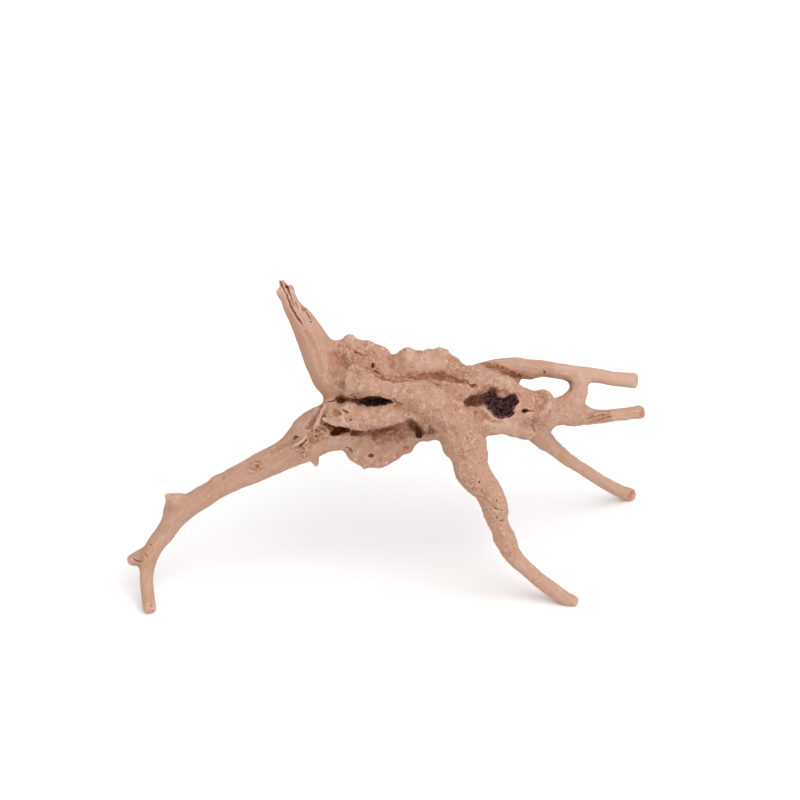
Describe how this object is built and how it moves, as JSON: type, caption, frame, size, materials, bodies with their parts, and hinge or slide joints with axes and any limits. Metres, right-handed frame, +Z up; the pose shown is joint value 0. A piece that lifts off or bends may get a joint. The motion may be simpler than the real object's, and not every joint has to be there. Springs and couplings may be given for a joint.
{
  "type": "bogwood root",
  "caption": "Branching bogwood root for an aquarium or display: a knobbly body with a torn upright horn, standing on splayed legs, with thin branches reaching out to the side.",
  "frame": {"origin": "on the floor, under the middle of the root's bounding box", "axes": "+X from the long left arm towards the thin branches, +Y from the side with the dark pocket to the back, +Z up as it stands"},
  "size_m": [0.3072, 0.1278, 0.1776],
  "materials": {
    "pale_bogwood": "dry, peeled and matt, with dark crevices"
  },
  "bodies": {
    "root": {"bogwood_root": "pale_bogwood"}
  },
  "joints": []
}
